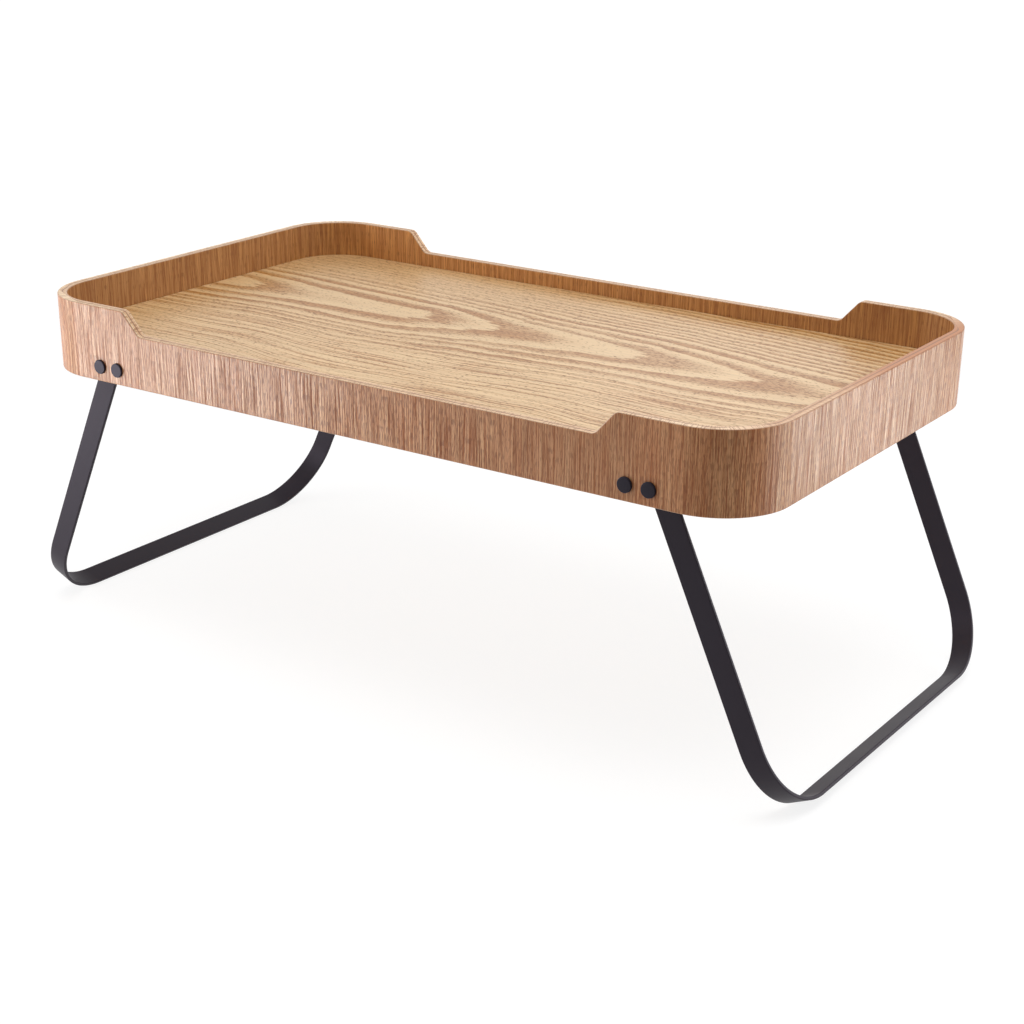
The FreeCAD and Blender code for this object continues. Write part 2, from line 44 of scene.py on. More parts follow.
mm = 0.001
trayLength = 580.0
tiny = 0.001    # points closer than this, in mm, are one
faceUp = 0.9    # a face lies flat where its normal's Z is over this
scene = bpy.context.scene

# settings that many shader nodes share
softly = {"interpolation_type": "SMOOTHSTEP"}
colours = {"data_type": "RGBA"}
multiplied = {"data_type": "RGBA", "blend_type": "MULTIPLY"}


def linear(hexColour):
    # sRGB hex to the linear colour that the shaders work in
    channels = [int(hexColour[place:place + 2], 16) / 255 for place in (1, 3, 5)]
    return [c / 12.92 if c <= 0.04045 else ((c + 0.055) / 1.055) ** 2.4 for c in channels] + [1.0]


def addNode(tree, kind, inputs=None, **settings):
    # one shader node with its settings. An input is a value, a hex colour, a socket, or a node
    # that stands for its first output in use. Map Range goes from 1 and 2 to 3 and 4; Mix has
    # its share as 0, two numbers as 2 and 3, and two colours as 6 and 7
    node = tree.nodes.new("ShaderNode" + kind)
    for name, value in settings.items():
        setattr(node, name, value)
    for key, value in (inputs or {}).items():
        if isinstance(value, bpy.types.Node):
            value = next(output for output in value.outputs if output.enabled)
        if isinstance(value, bpy.types.NodeSocket):
            tree.links.new(value, node.inputs[key])
        else:
            node.inputs[key].default_value = linear(value) if isinstance(value, str) else value
    return node


def newMaterial(name):
    material = bpy.data.materials.new(name)
    material.use_nodes = True
    material.node_tree.nodes.clear()
    return material, material.node_tree


def setStops(ramp, stops):
    # stops are pairs of place and grey value or colour
    while len(ramp.elements) > 1:
        ramp.elements.remove(ramp.elements[-1])
    for index, (place, value) in enumerate(stops):
        stop = ramp.elements[0] if index == 0 else ramp.elements.new(place)
        stop.position = place
        stop.color = value if isinstance(value, list) else [value, value, value, 1.0]


def inMillimetres(tree, place):
    # a place in mm, whole and as its axes X, Y and Z
    grid = addNode(tree, "VectorMath", {0: place, 1: [1 / mm] * 3}, operation="MULTIPLY")
    return grid, addNode(tree, "SeparateXYZ", {0: grid}).outputs


def grainPatches(tree, place, width, height, step=1, detail=1.0, roughness=0.5):
    # soft patches of about width and height mm, which make fibres, lines and pores once they are
    # narrow; step sets the layers along Z apart
    stretched = addNode(tree, "Mapping", {"Vector": place, "Scale": (1 / width, 1 / height, step)})
    return addNode(tree, "TexNoise",
                   {"Vector": stretched, "Scale": 1.0, "Detail": detail, "Roughness": roughness})


def alongTray(tree, length, stops):
    # a value or colour that changes along the tray, at places in mm from its middle
    share = addNode(tree, "MapRange", {0: length, 1: -trayLength / 2, 2: trayLength / 2})
    ramp = addNode(tree, "ValToRGB", {0: share})
    setStops(ramp.color_ramp, [(place / trayLength + 0.5, value) for place, value in stops])
    return ramp


def growthRings(tree, age, porous, weakest, strongest):
    # the dark porous part of each ring, stronger in some rings than in others
    ringPart = addNode(tree, "Math", {0: age}, operation="FRACT")
    ringNumber = addNode(tree, "Math", {0: age}, operation="FLOOR")
    shape = addNode(tree, "ValToRGB", {0: ringPart})
    setStops(shape.color_ramp, porous)
    chance = addNode(tree, "TexWhiteNoise", {"W": ringNumber}, noise_dimensions="1D")
    strength = addNode(tree, "MapRange", {0: chance, 3: weakest, 4: strongest})
    return addNode(tree, "Math", {0: shape, 1: strength}, operation="MULTIPLY")


def lacquer(tree, colour, roughness, bump, coat, coatRoughness):
    # wood under a satin lacquer
    shader = addNode(tree, "BsdfPrincipled", {
        "Base Color": colour, "Roughness": roughness, "IOR": 1.5, "Normal": bump,
        "Coat Weight": coat, "Coat Roughness": coatRoughness, "Coat IOR": 1.5,
    })
    addNode(tree, "OutputMaterial", {"Surface": shader})


panelFigure = {
    # crown-cut figure: growth rings in mm from the heart of the tree
    "rings": (0, 20, 34.7, 46.8, 58.1, 64.3, 72.5, 82, 87.3, 94, 99.6, 107, 116, 123, 131, 138, 147,
              154, 163, 170, 179, 187, 197),
    "reach": 205.0,
    # share of a ring's width, and how dark the ring is there
    "porous": ((0.0, 0.5), (0.03, 1.0), (0.3, 0.85), (0.48, 0.5), (0.64, 0.12), (0.8, 0.0), (0.96, 0.0),
               (1.0, 0.5)),
    # mm along the panel, and how deep the cut lies above the heart there, in mm squared: the
    # heart dips away from left to right, which makes the arches
    "cut": ((-290, 120), (-246, 400), (-200, 787), (-160, 930), (-110, 1020), (-84, 1200), (-22, 2190),
            (0, 2450), (60, 3050), (103, 3380), (188, 4140), (290, 5050)),
    "cutMost": 5100.0,
    "heartLeft": 31.0,
    "heartRight": 20.0,
    "latewood": "#DDBA88",
    "earlywood": "#AD742E",
    "quiet": 0.3,
    "poreColour": "#80501F",
    "poreLength": 2.6,
    "poreWidth": 0.85,      # real pores are 0.2 mm wide, drawn wider so that they show
    "rowLength": 120.0,
    "rowWidth": 1.5,
    "rowDepth": 1.0,
    "fibreLength": 60.0,
    "fibreWidth": 1.1,
}


def makePanelVeneer(figure):
    # ash veneer, crown cut and satin lacquered: pale arches with soft brown porous bands that
    # start sharply and fade, and short dark pore dashes along the grain
    material, tree = newMaterial("ashVeneerCrownCut")
    grid, axes = inMillimetres(tree, addNode(tree, "TexCoord").outputs["Object"])
    x, y = axes["X"], axes["Y"]

    slow = grainPatches(tree, grid, 90, 60, detail=2.0)
    bend = addNode(tree, "MapRange", {0: slow, 1: 0.2, 2: 0.8, 3: -4, 4: 4})
    heart = addNode(tree, "MapRange",
                    {0: x, 1: 80, 2: 230, 3: figure["heartLeft"], 4: figure["heartRight"]}, **softly)
    offHeart = addNode(tree, "Math", {0: y, 1: heart}, operation="SUBTRACT")
    across = addNode(tree, "Math", {0: offHeart, 1: bend}, operation="ADD")
    # the leaning cut makes the front limbs of the arches wider than the back ones
    lean = addNode(tree, "MapRange", {0: x, 1: -180, 2: -60, 3: 0.0, 4: 0.12}, **softly)
    leaning = addNode(tree, "Math", {0: across}, operation="ABSOLUTE")
    wider = addNode(tree, "Math", {0: leaning, 1: lean, 2: across}, operation="MULTIPLY_ADD")
    square = addNode(tree, "Math", {0: wider, 1: wider}, operation="MULTIPLY")

    tips = grainPatches(tree, grid, 34, 3.2, detail=2.0)
    ragged = addNode(tree, "MapRange", {0: tips, 1: 0.25, 2: 0.75, 3: -10, 4: 10})
    along = addNode(tree, "Math", {0: x, 1: ragged}, operation="ADD")
    cut = alongTray(tree, along, [(place, depth / figure["cutMost"]) for place, depth in figure["cut"]])
    cut.color_ramp.interpolation = "CARDINAL"
    arch = addNode(tree, "Math", {0: cut, 1: figure["cutMost"], 2: square}, operation="MULTIPLY_ADD")
    radius = addNode(tree, "Math", {0: arch}, operation="SQRT")
    share = addNode(tree, "Math", {0: radius, 1: figure["reach"]}, operation="DIVIDE")

    # the ramp turns distance into a count of rings, so that each ring has its own width
    count = len(figure["rings"]) - 1
    rings = addNode(tree, "ValToRGB", {0: share})
    setStops(rings.color_ramp,
             [(edge / figure["reach"], index / count) for index, edge in enumerate(figure["rings"])])
    age = addNode(tree, "Math", {0: rings, 1: count}, operation="MULTIPLY")
    band = growthRings(tree, age, figure["porous"], 0.8, 1.0)
    patches = grainPatches(tree, grid, 90, 22, detail=2.0)
    uneven = addNode(tree, "MapRange", {0: patches, 1: 0.3, 2: 0.7, 3: 0.75, 4: 1.2})
    ringTone = addNode(tree, "Math", {0: band, 1: uneven}, operation="MULTIPLY")

    # rows of pores between the wide rings, which crowd towards the leaf's front edge
    rowPlace = addNode(tree, "CombineXYZ", {"X": x, "Y": radius})
    rowNoise = grainPatches(tree, rowPlace, figure["rowLength"], figure["rowWidth"])
    rowShare = addNode(tree, "MapRange", {0: offHeart, 1: -50, 2: -90, 3: 0.12, 4: 1.0})
    rowLine = addNode(tree, "MapRange", {0: rowNoise, 1: 0.48, 2: 0.66, 3: 0.0, 4: figure["rowDepth"]})
    rows = addNode(tree, "Math", {0: rowLine, 1: rowShare}, operation="MULTIPLY")
    ringShare = addNode(tree, "MapRange", {0: offHeart, 1: -50, 2: -95, 3: 1.0, 4: 0.15})
    figured = addNode(tree, "Math", {0: ringTone, 1: ringShare, 2: rows},
                      operation="MULTIPLY_ADD", use_clamp=True)
    # the back left of the leaf is an even light brown with hardly any rings
    calmAcross = addNode(tree, "MapRange", {0: offHeart, 1: 40, 2: 75}, **softly)
    calmAlong = addNode(tree, "MapRange", {0: x, 1: 90, 2: -110, 3: 0.0, 4: 0.75}, **softly)
    calm = addNode(tree, "Math", {0: calmAcross, 1: calmAlong}, operation="MULTIPLY")
    darkness = addNode(tree, "Mix", {0: calm, 2: figured, 3: figure["quiet"]})
    wood = addNode(tree, "Mix", {0: darkness, 6: figure["latewood"], 7: figure["earlywood"]}, **colours)

    fibres = grainPatches(tree, grid, figure["fibreLength"], figure["fibreWidth"], detail=2.0)
    fibreTone = addNode(tree, "MapRange", {0: fibres, 1: 0.35, 2: 0.65, 3: 0.92, 4: 1.05})
    streaked = addNode(tree, "Mix", {0: 1.0, 6: wood, 7: fibreTone}, **multiplied)

    pores = grainPatches(tree, grid, figure["poreLength"], figure["poreWidth"], detail=0.0)
    poreLimit = addNode(tree, "MapRange", {0: darkness, 2: 0.6, 3: 0.72, 4: 0.55})
    poreDepth = addNode(tree, "Math", {0: pores, 1: poreLimit}, operation="SUBTRACT")
    poreMask = addNode(tree, "MapRange", {0: poreDepth, 1: 0.0, 2: 0.06, 3: 0.0, 4: 0.75})
    coloured = addNode(tree, "Mix", {0: poreMask, 6: streaked, 7: figure["poreColour"]}, **colours)
    dull = addNode(tree, "MapRange", {0: poreMask, 3: 0.42, 4: 0.62})
    relief = addNode(tree, "Math", {0: poreMask, 1: -1.0, 2: fibres}, operation="MULTIPLY_ADD")
    bump = addNode(tree, "Bump", {"Height": relief, "Strength": 0.35, "Distance": 0.12 * mm})
    lacquer(tree, coloured, dull, bump, 0.35, 0.38)
    return material


# what the veneers on both faces of the rim share: mm across and up the band
uprightPattern = {
    "leafShift": 37.7,      # each leaf starts this much further on in the pattern
    "swaySize": (14.0, 60.0),
    "kinkSize": (2.0, 3.0),
    "crowdWidth": 19.0,     # the rings crowd and spread over this width, by up to crowding
    "crowding": 9.0,
    "porous": ((0.0, 0.35), (0.1, 1.0), (0.22, 0.8), (0.4, 0.25), (0.7, 0.0), (1.0, 0.3)),
    "lineHeight": 110.0,
    "fibreHeight": 38.0,
    "streakSize": (8.0, 240.0),
    "toneMost": 1.4,
}

outerFigure = uprightPattern | {
    "name": "ashVeneerUprightOuter",
    "leafWidth": 80.0,      # the veneer is jointed every 80 mm
    "leafStart": 46.0,
    "leafContrast": 0.07,
    "ringWidth": 4.6,
    "ringDepth": 0.2,
    "sway": 0.8,
    "kink": 0.12,
    "lineWidth": 1.7,
    "lineDepth": 0.34,
    "fibreWidth": 0.66,     # real fibres are finer, drawn as wide as they need to show
    "fibreDepth": 0.68,
    "light": "#DFA66F",
    "dark": "#8A4A20",
    "streakColour": "#B46731",
    "poreColour": "#6B3512",
    "poreLength": 5.0,
    "poreWidth": 0.62,      # real pores are 0.2 mm wide, drawn wider so that they show
    "poreLimit": 0.6,
    "poreShare": 0.6,
    "coat": 1.0,
    "calm": 0.7,
    # mm along X and how strongly the lines show there
    "show": ((-290, 0.7), (-160, 0.7), (-60, 0.95), (40, 0.9), (110, 0.85), (180, 0.65), (270, 0.65),
             (290, 0.75)),
    # mm along X and the tone there, as a share of red, green and blue: the right end wall is tinted
    # yellower
    "tonesAndPaintedLight": ((-290, (1.0, 1.0, 1.0)), (287, (1.0, 1.0, 1.0)), (290, (0.97, 1.0, 0.83))),
}

innerFigure = uprightPattern | {
    "name": "ashVeneerUprightInner",
    "leafWidth": 120.0,
    "leafStart": 20.0,
    "leafContrast": 0.05,
    "ringWidth": 6.0,
    "ringDepth": 0.35,
    "sway": 1.0,
    "kink": 0.1,
    "lineWidth": 4.0,
    "lineDepth": 0.6,
    "fibreWidth": 0.9,
    "fibreDepth": 0.65,
    "light": "#C99254",
    "dark": "#935B2D",
    "streakColour": "#B37B40",
    "poreColour": "#6D3E1C",
    "poreLength": 6.0,
    "poreWidth": 0.7,
    "poreLimit": 0.7,
    "poreShare": 0.5,
    "coat": 0.1,
    "calm": 0.3,
    "show": ((-290, 0.8), (290, 0.8)),
    # mm along X and the tone there, as a grey share: painted light and shade that stand in for the lamps'
    # light, lighter towards the left and most just inside the left corners, and dimmer on the left end
    # wall
    "tonesAndPaintedLight": [(length, [tone] * 3) for length, tone in (
        (-290, 0.94), (-278, 0.94), (-240, 1.39), (-200, 1.36), (-100, 1.28), (60, 1.17), (200, 1.01),
        (290, 1.01))],
}


def makeUprightVeneer(figure):
    # quarter-cut ash veneer with its grain upright round the band, satin lacquered: fine crowded
    # lines that wobble a little, darker porous ones at each ring; the tone steps at the leaves' joints
    # a ramp along the tray also tints the tone, and on the inner face paints light and shade
    material, tree = newMaterial(figure["name"])
    _, bandAxes = inMillimetres(tree, addNode(tree, "UVMap", uv_map="bandMap"))
    _, axes = inMillimetres(tree, addNode(tree, "TexCoord").outputs["Object"])
    around, x, height = bandAxes["X"], axes["X"], axes["Z"]

    fromJoint = addNode(tree, "Math", {0: around, 1: figure["leafStart"]}, operation="SUBTRACT")
    leaves = addNode(tree, "Math", {0: fromJoint, 1: figure["leafWidth"]}, operation="DIVIDE")
    leaf = addNode(tree, "Math", {0: leaves}, operation="FLOOR")
    leafChance = addNode(tree, "TexWhiteNoise", {"W": leaf}, noise_dimensions="1D")
    moved = addNode(tree, "Math", {0: leaf, 1: figure["leafShift"], 2: around}, operation="MULTIPLY_ADD")
    flat = addNode(tree, "CombineXYZ", {"X": moved, "Y": height})
    bent = moved
    for size, reach in ((figure["swaySize"], figure["sway"]), (figure["kinkSize"], figure["kink"])):
        noise = grainPatches(tree, flat, *size)
        bend = addNode(tree, "MapRange", {0: noise, 3: -2 * reach, 4: 2 * reach})
        bent = addNode(tree, "Math", {0: bent, 1: bend}, operation="ADD")
    grain = addNode(tree, "CombineXYZ", {"X": bent, "Y": height, "Z": leaf})

    crowd = grainPatches(tree, grain, figure["crowdWidth"], math.inf)
    spacing = addNode(tree, "MapRange", {0: crowd, 3: -figure["crowding"], 4: figure["crowding"]})
    grown = addNode(tree, "Math", {0: bent, 1: spacing}, operation="ADD")
    age = addNode(tree, "Math", {0: grown, 1: figure["ringWidth"]}, operation="DIVIDE")
    band = growthRings(tree, age, figure["porous"], 0.0, figure["ringDepth"])

    lineNoise = grainPatches(tree, grain, figure["lineWidth"], figure["lineHeight"], 3, 2.0, 0.7)
    lines = addNode(tree, "MapRange", {0: lineNoise, 1: 0.48, 2: 0.56, 3: 0.0, 4: figure["lineDepth"]})
    fibreNoise = grainPatches(tree, grain, figure["fibreWidth"], figure["fibreHeight"], 5)
    fibres = addNode(tree, "MapRange", {0: fibreNoise, 1: 0.43, 2: 0.56, 3: 0.0, 4: figure["fibreDepth"]})
    lined = addNode(tree, "Math", {0: fibres, 1: lines}, operation="ADD")
    allLines = addNode(tree, "Math", {0: band, 1: lined}, operation="ADD", use_clamp=True)
    show = alongTray(tree, x, figure["show"])
    # where the lines are calm the wood between them is darker, so that the leaf keeps its tone
    darkness = addNode(tree, "Mix", {0: show, 2: figure["calm"], 3: allLines})
    wood = addNode(tree, "Mix", {0: darkness, 6: figure["light"], 7: figure["dark"]}, **colours)
    streaks = grainPatches(tree, grain, *figure["streakSize"], 5, 2.0)
    streakMask = addNode(tree, "MapRange", {0: streaks, 1: 0.4, 2: 0.7, 3: 0.0, 4: 0.45})
    streaked = addNode(tree, "Mix", {0: streakMask, 6: wood, 7: figure["streakColour"]}, **colours)

    # the ramp's tones and painted light stay under 1, and each leaf's own tone brings them back up
    most, contrast = figure["toneMost"], figure["leafContrast"]
    toneAndLightAlong = alongTray(tree, x, [(place, [share / most for share in tone] + [1.0])
                                    for place, tone in figure["tonesAndPaintedLight"]])
    evenTone = addNode(tree, "MapRange",
                       {0: leafChance, 3: most * (1 - contrast), 4: most * (1 + contrast)})
    leafToneAndLight = addNode(tree, "Mix", {0: 1.0, 6: toneAndLightAlong, 7: evenTone}, **multiplied)
    toned = addNode(tree, "Mix", {0: 1.0, 6: streaked, 7: leafToneAndLight}, **multiplied)

    pores = grainPatches(tree, grain, figure["poreWidth"], figure["poreLength"], 7, 0.0)
    leafPores = addNode(tree, "MapRange",
                        {0: leafChance, 3: figure["poreLimit"], 4: figure["poreLimit"] - 0.05})
    limit = addNode(tree, "Math", {0: darkness, 1: -0.08, 2: leafPores}, operation="MULTIPLY_ADD")
    poreDepth = addNode(tree, "Math", {0: pores, 1: limit}, operation="SUBTRACT")
    poreStrength = addNode(tree, "MapRange",
                           {0: poreDepth, 1: 0.0, 2: 0.06, 3: 0.0, 4: figure["poreShare"]})
    poreMask = addNode(tree, "Math", {0: poreStrength, 1: show}, operation="MULTIPLY")
    coloured = addNode(tree, "Mix", {0: poreMask, 6: toned, 7: figure["poreColour"]}, **colours)
    dull = addNode(tree, "MapRange", {0: darkness, 3: 0.35, 4: 0.8})
    sealed = addNode(tree, "MapRange", {0: darkness, 3: figure["coat"], 4: 0.2 * figure["coat"]})
    relief = addNode(tree, "Math", {0: darkness, 1: -1.0, 2: 1.0}, operation="MULTIPLY_ADD")
    bump = addNode(tree, "Bump", {"Height": relief, "Strength": 0.3, "Distance": 0.08 * mm})
    lacquer(tree, coloured, dull, bump, sealed, 0.26)
    return material


plyFigure = {
    "ply": 1.4,             # five plies in 7 mm
    "glueLine": 0.22,
    "waver": 0.25,
    "waverLength": 40.0,
    "cream": "#F0D2AC",
    "tan": "#D0A374",
    "glue": "#8A5430",
    "tick": "#9E6A40",
    "tickSize": (0.9, 6.0),
    "seam": 3.4,            # mm from the outer face to the dark seam between the two halves of the lay-up
    "stain": "#B97440",     # the right end's edge is browner
}


def makePlyEdge(figure):
    # sanded and lacquered plywood edge: cream and tan plies between thin brown glue lines, with
    # the cut ends of the upright grain as fine ticks across the plies
    material, tree = newMaterial("birchPlywoodSandedEdge")
    grid, bandAxes = inMillimetres(tree, addNode(tree, "UVMap", uv_map="bandMap"))
    _, axes = inMillimetres(tree, addNode(tree, "TexCoord").outputs["Object"])

    slow = grainPatches(tree, grid, figure["waverLength"], math.inf)
    waver = addNode(tree, "MapRange", {0: slow, 3: -figure["waver"], 4: figure["waver"]})
    depth = addNode(tree, "Math", {0: bandAxes["Y"], 1: waver}, operation="ADD")
    plies = addNode(tree, "Math", {0: depth, 1: figure["ply"]}, operation="DIVIDE")
    ply = addNode(tree, "Math", {0: plies}, operation="FLOOR")
    odd = addNode(tree, "Math", {0: ply, 1: 2.0}, operation="FLOORED_MODULO")
    fromLine = addNode(tree, "Math", {0: plies, 1: 0.5}, operation="PINGPONG")
    half = figure["glueLine"] / figure["ply"] / 2
    glueMask = addNode(tree, "MapRange", {0: fromLine, 1: half, 2: half * 2, 3: 0.35, 4: 0.0})
    plyTone = addNode(tree, "Math", {0: odd, 1: 0.7}, operation="MULTIPLY")
    wood = addNode(tree, "Mix", {0: plyTone, 6: figure["cream"], 7: figure["tan"]}, **colours)
    ticks = grainPatches(tree, grid, *figure["tickSize"])
    tickMask = addNode(tree, "MapRange", {0: ticks, 1: 0.5, 2: 0.6, 3: 0.0, 4: 0.75})
    ticked = addNode(tree, "Mix", {0: tickMask, 6: wood, 7: figure["tick"]}, **colours)

    atEnd = addNode(tree, "MapRange", {0: axes["X"], 1: 260, 2: 285, 3: 0.0, 4: 0.36})
    atBack = addNode(tree, "MapRange", {0: axes["Y"], 1: -70, 2: 10, 3: 1.0, 4: 2.6})
    stainMask = addNode(tree, "Math", {0: atEnd, 1: atBack}, operation="MULTIPLY")
    stained = addNode(tree, "Mix", {0: stainMask, 6: ticked, 7: figure["stain"]}, **colours)
    fromSeam = addNode(tree, "Math", {0: depth, 1: figure["seam"]}, operation="SUBTRACT")
    seamGap = addNode(tree, "Math", {0: fromSeam}, operation="ABSOLUTE")
    seamMask = addNode(tree, "MapRange", {0: seamGap, 1: 0.35, 2: 0.75, 3: 0.9, 4: 0.0})
    skinMask = addNode(tree, "MapRange", {0: seamGap, 1: 2.6, 2: 3.0, 3: 0.0, 4: 0.6})
    seamed = addNode(tree, "Math", {0: seamMask, 1: skinMask}, operation="MAXIMUM")
    lineMask = addNode(tree, "Math", {0: glueMask, 1: seamed}, operation="MAXIMUM")
    coloured = addNode(tree, "Mix", {0: lineMask, 6: stained, 7: figure["glue"]}, **colours)
    bump = addNode(tree, "Bump", {"Height": ticks, "Strength": 0.2, "Distance": 0.1 * mm})
    lacquer(tree, coloured, 0.48, bump, 0.3, 0.4)
    return material


coatings = {
    # two close tones, roughness, share of the usual gloss, and the coat's grain and its depth in mm
    "blackPowderCoatSatin": ("#2A262B", "#312D33", 0.48, 0.2, 0.9, 0.012),
    "blackZincSatin": ("#1A181D", "#211F26", 0.45, 0.3, 0.6, 0.006),
}


def makeCoating(name):
    # black coating on steel: even satin black with a barely visible orange-peel grain
    dark, light, roughness, gloss, size, depth = coatings[name]
    material, tree = newMaterial(name)
    place = addNode(tree, "TexCoord").outputs["Object"]
    grain = addNode(tree, "TexNoise", {"Vector": place, "Scale": 1 / (size * mm), "Detail": 1.0})
    # the tone and the gloss drift a little in clouds of 33 mm
    cloud = addNode(tree, "TexNoise", {"Vector": place, "Scale": 0.03 / mm, "Detail": 2.0})
    colour = addNode(tree, "Mix", {0: cloud, 6: dark, 7: light}, **colours)
    dull = addNode(tree, "MapRange", {0: cloud, 3: roughness - 0.04, 4: roughness + 0.06})
    bump = addNode(tree, "Bump", {"Height": grain, "Strength": 0.25, "Distance": depth * mm})
    shader = addNode(tree, "BsdfPrincipled", {
        "Base Color": colour, "Roughness": dull, "IOR": 1.5, "Normal": bump,
        "Specular IOR Level": gloss, "Specular Tint": [0.9, 0.78, 1.0, 1.0],
    })
    addNode(tree, "OutputMaterial", {"Surface": shader})
    return material


def makeNylon():
    # natural nylon, punched from sheet: milky white and waxy, with clouds of 2.5 mm
    material, tree = newMaterial("nylonNatural")
    place = addNode(tree, "TexCoord").outputs["Object"]
    cloud = addNode(tree, "TexNoise", {"Vector": place, "Scale": 0.4 / mm, "Detail": 2.0})
    colour = addNode(tree, "Mix", {0: cloud, 6: "#D9D7CD", 7: "#E4E2D9"}, **colours)
    bump = addNode(tree, "Bump", {"Height": cloud, "Strength": 0.1, "Distance": 0.05 * mm})
    shader = addNode(tree, "BsdfPrincipled", {
        "Base Color": colour, "Roughness": 0.45, "IOR": 1.53, "Normal": bump,
        "Subsurface Weight": 0.15, "Subsurface Scale": mm,
    })
    addNode(tree, "OutputMaterial", {"Surface": shader})
    return material


def makeSpringSteel():
    # hardened spring steel, tumbled: grey metal with random scratches, 1.1 mm apart so that they
    # show; real ones are finer
    material, tree = newMaterial("springSteelTumbled")
    place = addNode(tree, "TexCoord").outputs["Object"]
    scratch = addNode(tree, "TexNoise", {"Vector": place, "Scale": 0.9 / mm, "Detail": 3.0})
    colour = addNode(tree, "Mix", {0: scratch, 6: "#9C9DA0", 7: "#B4B5B8"}, **colours)
    dull = addNode(tree, "MapRange", {0: scratch, 3: 0.25, 4: 0.42})
    shader = addNode(tree, "BsdfPrincipled", {"Base Color": colour, "Metallic": 1.0, "Roughness": dull})
    addNode(tree, "OutputMaterial", {"Surface": shader})
    return material


panelVeneer = makePanelVeneer(panelFigure)
outerVeneer = makeUprightVeneer(outerFigure)
innerVeneer = makeUprightVeneer(innerFigure)
plyEdge = makePlyEdge(plyFigure)
powderCoat = makeCoating("blackPowderCoatSatin")
blackZinc = makeCoating("blackZincSatin")
nylon = makeNylon()
springSteel = makeSpringSteel()
print("materials made:", len(bpy.data.materials))


def roundOff(shape, parts, size, segments, affect="EDGES"):
    # eases edges, or the corners of a flat outline, by a size in mm
    bmesh.ops.bevel(shape, geom=parts, offset=size * mm, offset_type="OFFSET", affect=affect,
                    segments=segments, profile=0.5, material=-1)


def mergePoints(shape, distance=tiny):
    bmesh.ops.remove_doubles(shape, verts=shape.verts[:], dist=distance * mm)


def lift(shape, height):
    bmesh.ops.translate(shape, vec=(0, 0, height * mm), verts=shape.verts)


def roundedFace(length, width, radius, segments):
    # a flat face with rounded corners about the origin
    shape = bmesh.new()
    bmesh.ops.create_grid(shape, x_segments=1, y_segments=1, size=0.5)
    bmesh.ops.scale(shape, vec=(length * mm, width * mm, 1), verts=shape.verts)
    roundOff(shape, shape.verts[:], radius, segments, "VERTICES")
    return shape


def raiseFaces(shape, height, way=(0, 0, 1)):
    # extrudes every face into a closed block
    grown = bmesh.ops.extrude_face_region(shape, geom=shape.faces[:])
    risen = [item for item in grown["geom"] if isinstance(item, bmesh.types.BMVert)]
    bmesh.ops.translate(shape, vec=[share * height * mm for share in way], verts=risen)
    bmesh.ops.recalc_face_normals(shape, faces=shape.faces[:])


def reopened(piece, distance=tiny):
    # a piece's mesh, to be shaped further
    shape = bmesh.new()
    shape.from_mesh(piece.data)
    mergePoints(shape, distance)
    return shape


def sliceAcross(shape, x):
    bmesh.ops.bisect_plane(shape, geom=shape.verts[:] + shape.edges[:] + shape.faces[:],
                           plane_co=(x * mm, 0, 0), plane_no=(1, 0, 0))


def addRod(shape, radius, length, place, segments=32):
    # a closed cylinder about the place's own Z axis, or a prism with few segments
    bmesh.ops.create_cone(shape, cap_ends=True, segments=segments, radius1=radius * mm,
                          radius2=radius * mm, depth=length * mm, matrix=place)


def addObject(name, data):
    thing = bpy.data.objects.new(name, data)
    scene.collection.objects.link(thing)
    return thing


def toObject(name, shape, *materials):
    mergePoints(shape)
    mesh = bpy.data.meshes.new(name)
    shape.to_mesh(mesh)
    shape.free()
    for material in materials:
        mesh.materials.append(material)
    return addObject(name, mesh)


def cutAway(piece, cutter):
    # takes the cutter's space out of the piece, and removes the cutter
    cut = piece.modifiers.new("cut", "BOOLEAN")
    cut.operation = "DIFFERENCE"
    cut.solver = "EXACT"
    cut.object = cutter
    bpy.context.view_layer.update()
    whole = piece.evaluated_get(bpy.context.evaluated_depsgraph_get())
    mesh = bpy.data.meshes.new_from_object(whole)
    piece.modifiers.clear()
    old = piece.data
    piece.data = mesh
    mesh.name = old.name
    bpy.data.meshes.remove(old)
    bpy.data.objects.remove(cutter)


def smoothShade(piece, crease=38.0):
    # soft edges with flat faces kept flat
    piece.data.shade_smooth()
    piece.data.set_sharp_from_angle(angle=math.radians(crease))
    weighted = piece.modifiers.new("evenNormals", "WEIGHTED_NORMAL")
    weighted.keep_sharp = True


rim = {
    "length": trayLength,
    "width": 334.0,
    "radius": 48.0,
    "thickness": 7.0,
    "height": 53.5,
    "underside": 191.5,
    "handholdHeight": 37.5,
    "handholdInset": 98.5,
    "handholdSlant": 48.0,
    "handholdFillet": 6.0,
    "handholdSegments": 8,
    "ease": 0.8,
    "easeSegments": 3,
    "cornerSegments": 28,
    "grooveDepth": 3.1,
    "grooveFloor": 20.95,
    "grooveHeight": 4.1,
    "boltHole": 6.1,
    "blankSpare": 5.0,      # the blank is this much higher than the finished rim
    "cutterSpare": 20.0,
    "sawnTilt": 0.3,        # a sawn face's normal points up or down by more than this
    "edgeTilt": 0.45,       # and by more than this where its plies show
}

hinge = {
    "pivotX": 223.0,
    "pivotZ": 202.1,
    "boltSpacing": 16.3,
    "wall": 167.0,
}


def rimOutline(inset):
    # the rim's outer outline, moved in by inset, as a flat face
    return roundedFace(rim["length"] - 2 * inset, rim["width"] - 2 * inset, rim["radius"] - inset,
                       rim["cornerSegments"])


